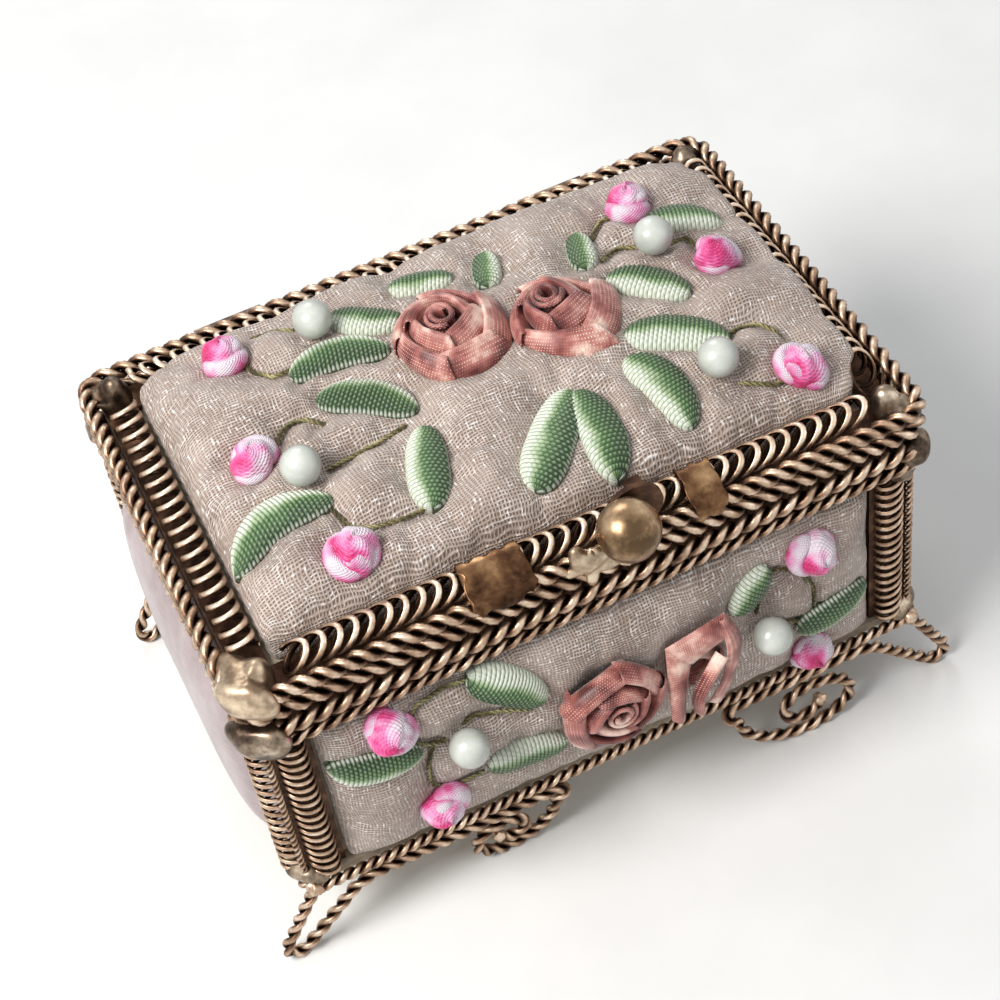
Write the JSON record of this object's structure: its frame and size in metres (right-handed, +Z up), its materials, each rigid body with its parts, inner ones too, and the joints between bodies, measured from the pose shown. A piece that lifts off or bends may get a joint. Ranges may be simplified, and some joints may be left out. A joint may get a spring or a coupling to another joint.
{
  "type": "trinket box",
  "caption": "Small rectangular trinket box in a gilt twisted-wire frame on scrolled wire feet, with a padded embroidered front and a hinged cushion lid opened by a ball knob.",
  "frame": {"origin": "on the ground under the middle of the whole object's bounding box", "axes": "+X to the right along the front, +Z up, -Y out of the front, the side with the ball knob"},
  "size_m": [0.0842, 0.0598, 0.054],
  "materials": {
    "gilt_wire": "worn gilt, dark in the recesses",
    "dark_sheet": "dark lacquered gilt sheet",
    "card": "matte",
    "gauze": "open champagne gauze with a sparkling thread",
    "satin": "soft satin",
    "pearl": "pearl gloss",
    "rose_ribbon": "ribbed dusty rose ribbon"
  },
  "bodies": {
    "base": {"rim_rope": "gilt_wire", "rim_cord": "gilt_wire", "foot_cord": "gilt_wire", "corner_post_front_left": "gilt_wire", "corner_post_front_right": "gilt_wire", "corner_post_back_left": "gilt_wire", "corner_post_back_right": "gilt_wire", "foot_front_left": "gilt_wire", "foot_front_right": "gilt_wire", "foot_back_left": "gilt_wire", "foot_back_right": "gilt_wire", "hinge_rim_leaf_left": "gilt_wire", "hinge_rim_leaf_right": "gilt_wire", "hinge_pin_left": "gilt_wire", "hinge_pin_right": "gilt_wire", "base_rim": "dark_sheet", "base_floor": "card", "front_wall": "card", "back_wall": "card", "left_wall": "card", "right_wall": "card", "front_pad": "gauze", "base_lining": "satin", "back_pad": "satin", "left_pad": "satin", "right_pad": "satin", "front_pearl_left": "pearl", "front_pearl_right": "pearl", "front_rose_left": "rose_ribbon", "front_rose_right": "rose_ribbon"},
    "lid": {"lid_rope_lower": "gilt_wire", "lid_rope_upper": "gilt_wire", "lid_coil_front": "gilt_wire", "lid_coil_back": "gilt_wire", "lid_coil_left": "gilt_wire", "lid_coil_right": "gilt_wire", "corner_cap_front_left": "gilt_wire", "corner_cap_front_right": "gilt_wire", "corner_cap_back_left": "gilt_wire", "corner_cap_back_right": "gilt_wire", "solder_patch_left": "gilt_wire", "solder_patch_right": "gilt_wire", "knob_plate": "gilt_wire", "lift_knob": "gilt_wire", "hinge_lid_leaf_left": "gilt_wire", "hinge_lid_leaf_right": "gilt_wire", "lid_border": "dark_sheet", "lid_board": "card", "lid_cushion": "gauze", "lid_lining": "satin", "lid_pearl_1": "pearl", "lid_pearl_2": "pearl", "lid_pearl_3": "pearl", "lid_pearl_4": "pearl", "lid_rose_left": "rose_ribbon", "lid_rose_right": "rose_ribbon"}
  },
  "joints": [
    {"name": "lid_hinge", "type": "hinge", "parent": "base", "child": "lid", "pos_m": [0, 0.02867, 0.0402], "axis": [-1, 0, 0], "range_deg": [0, 100]}
  ]
}
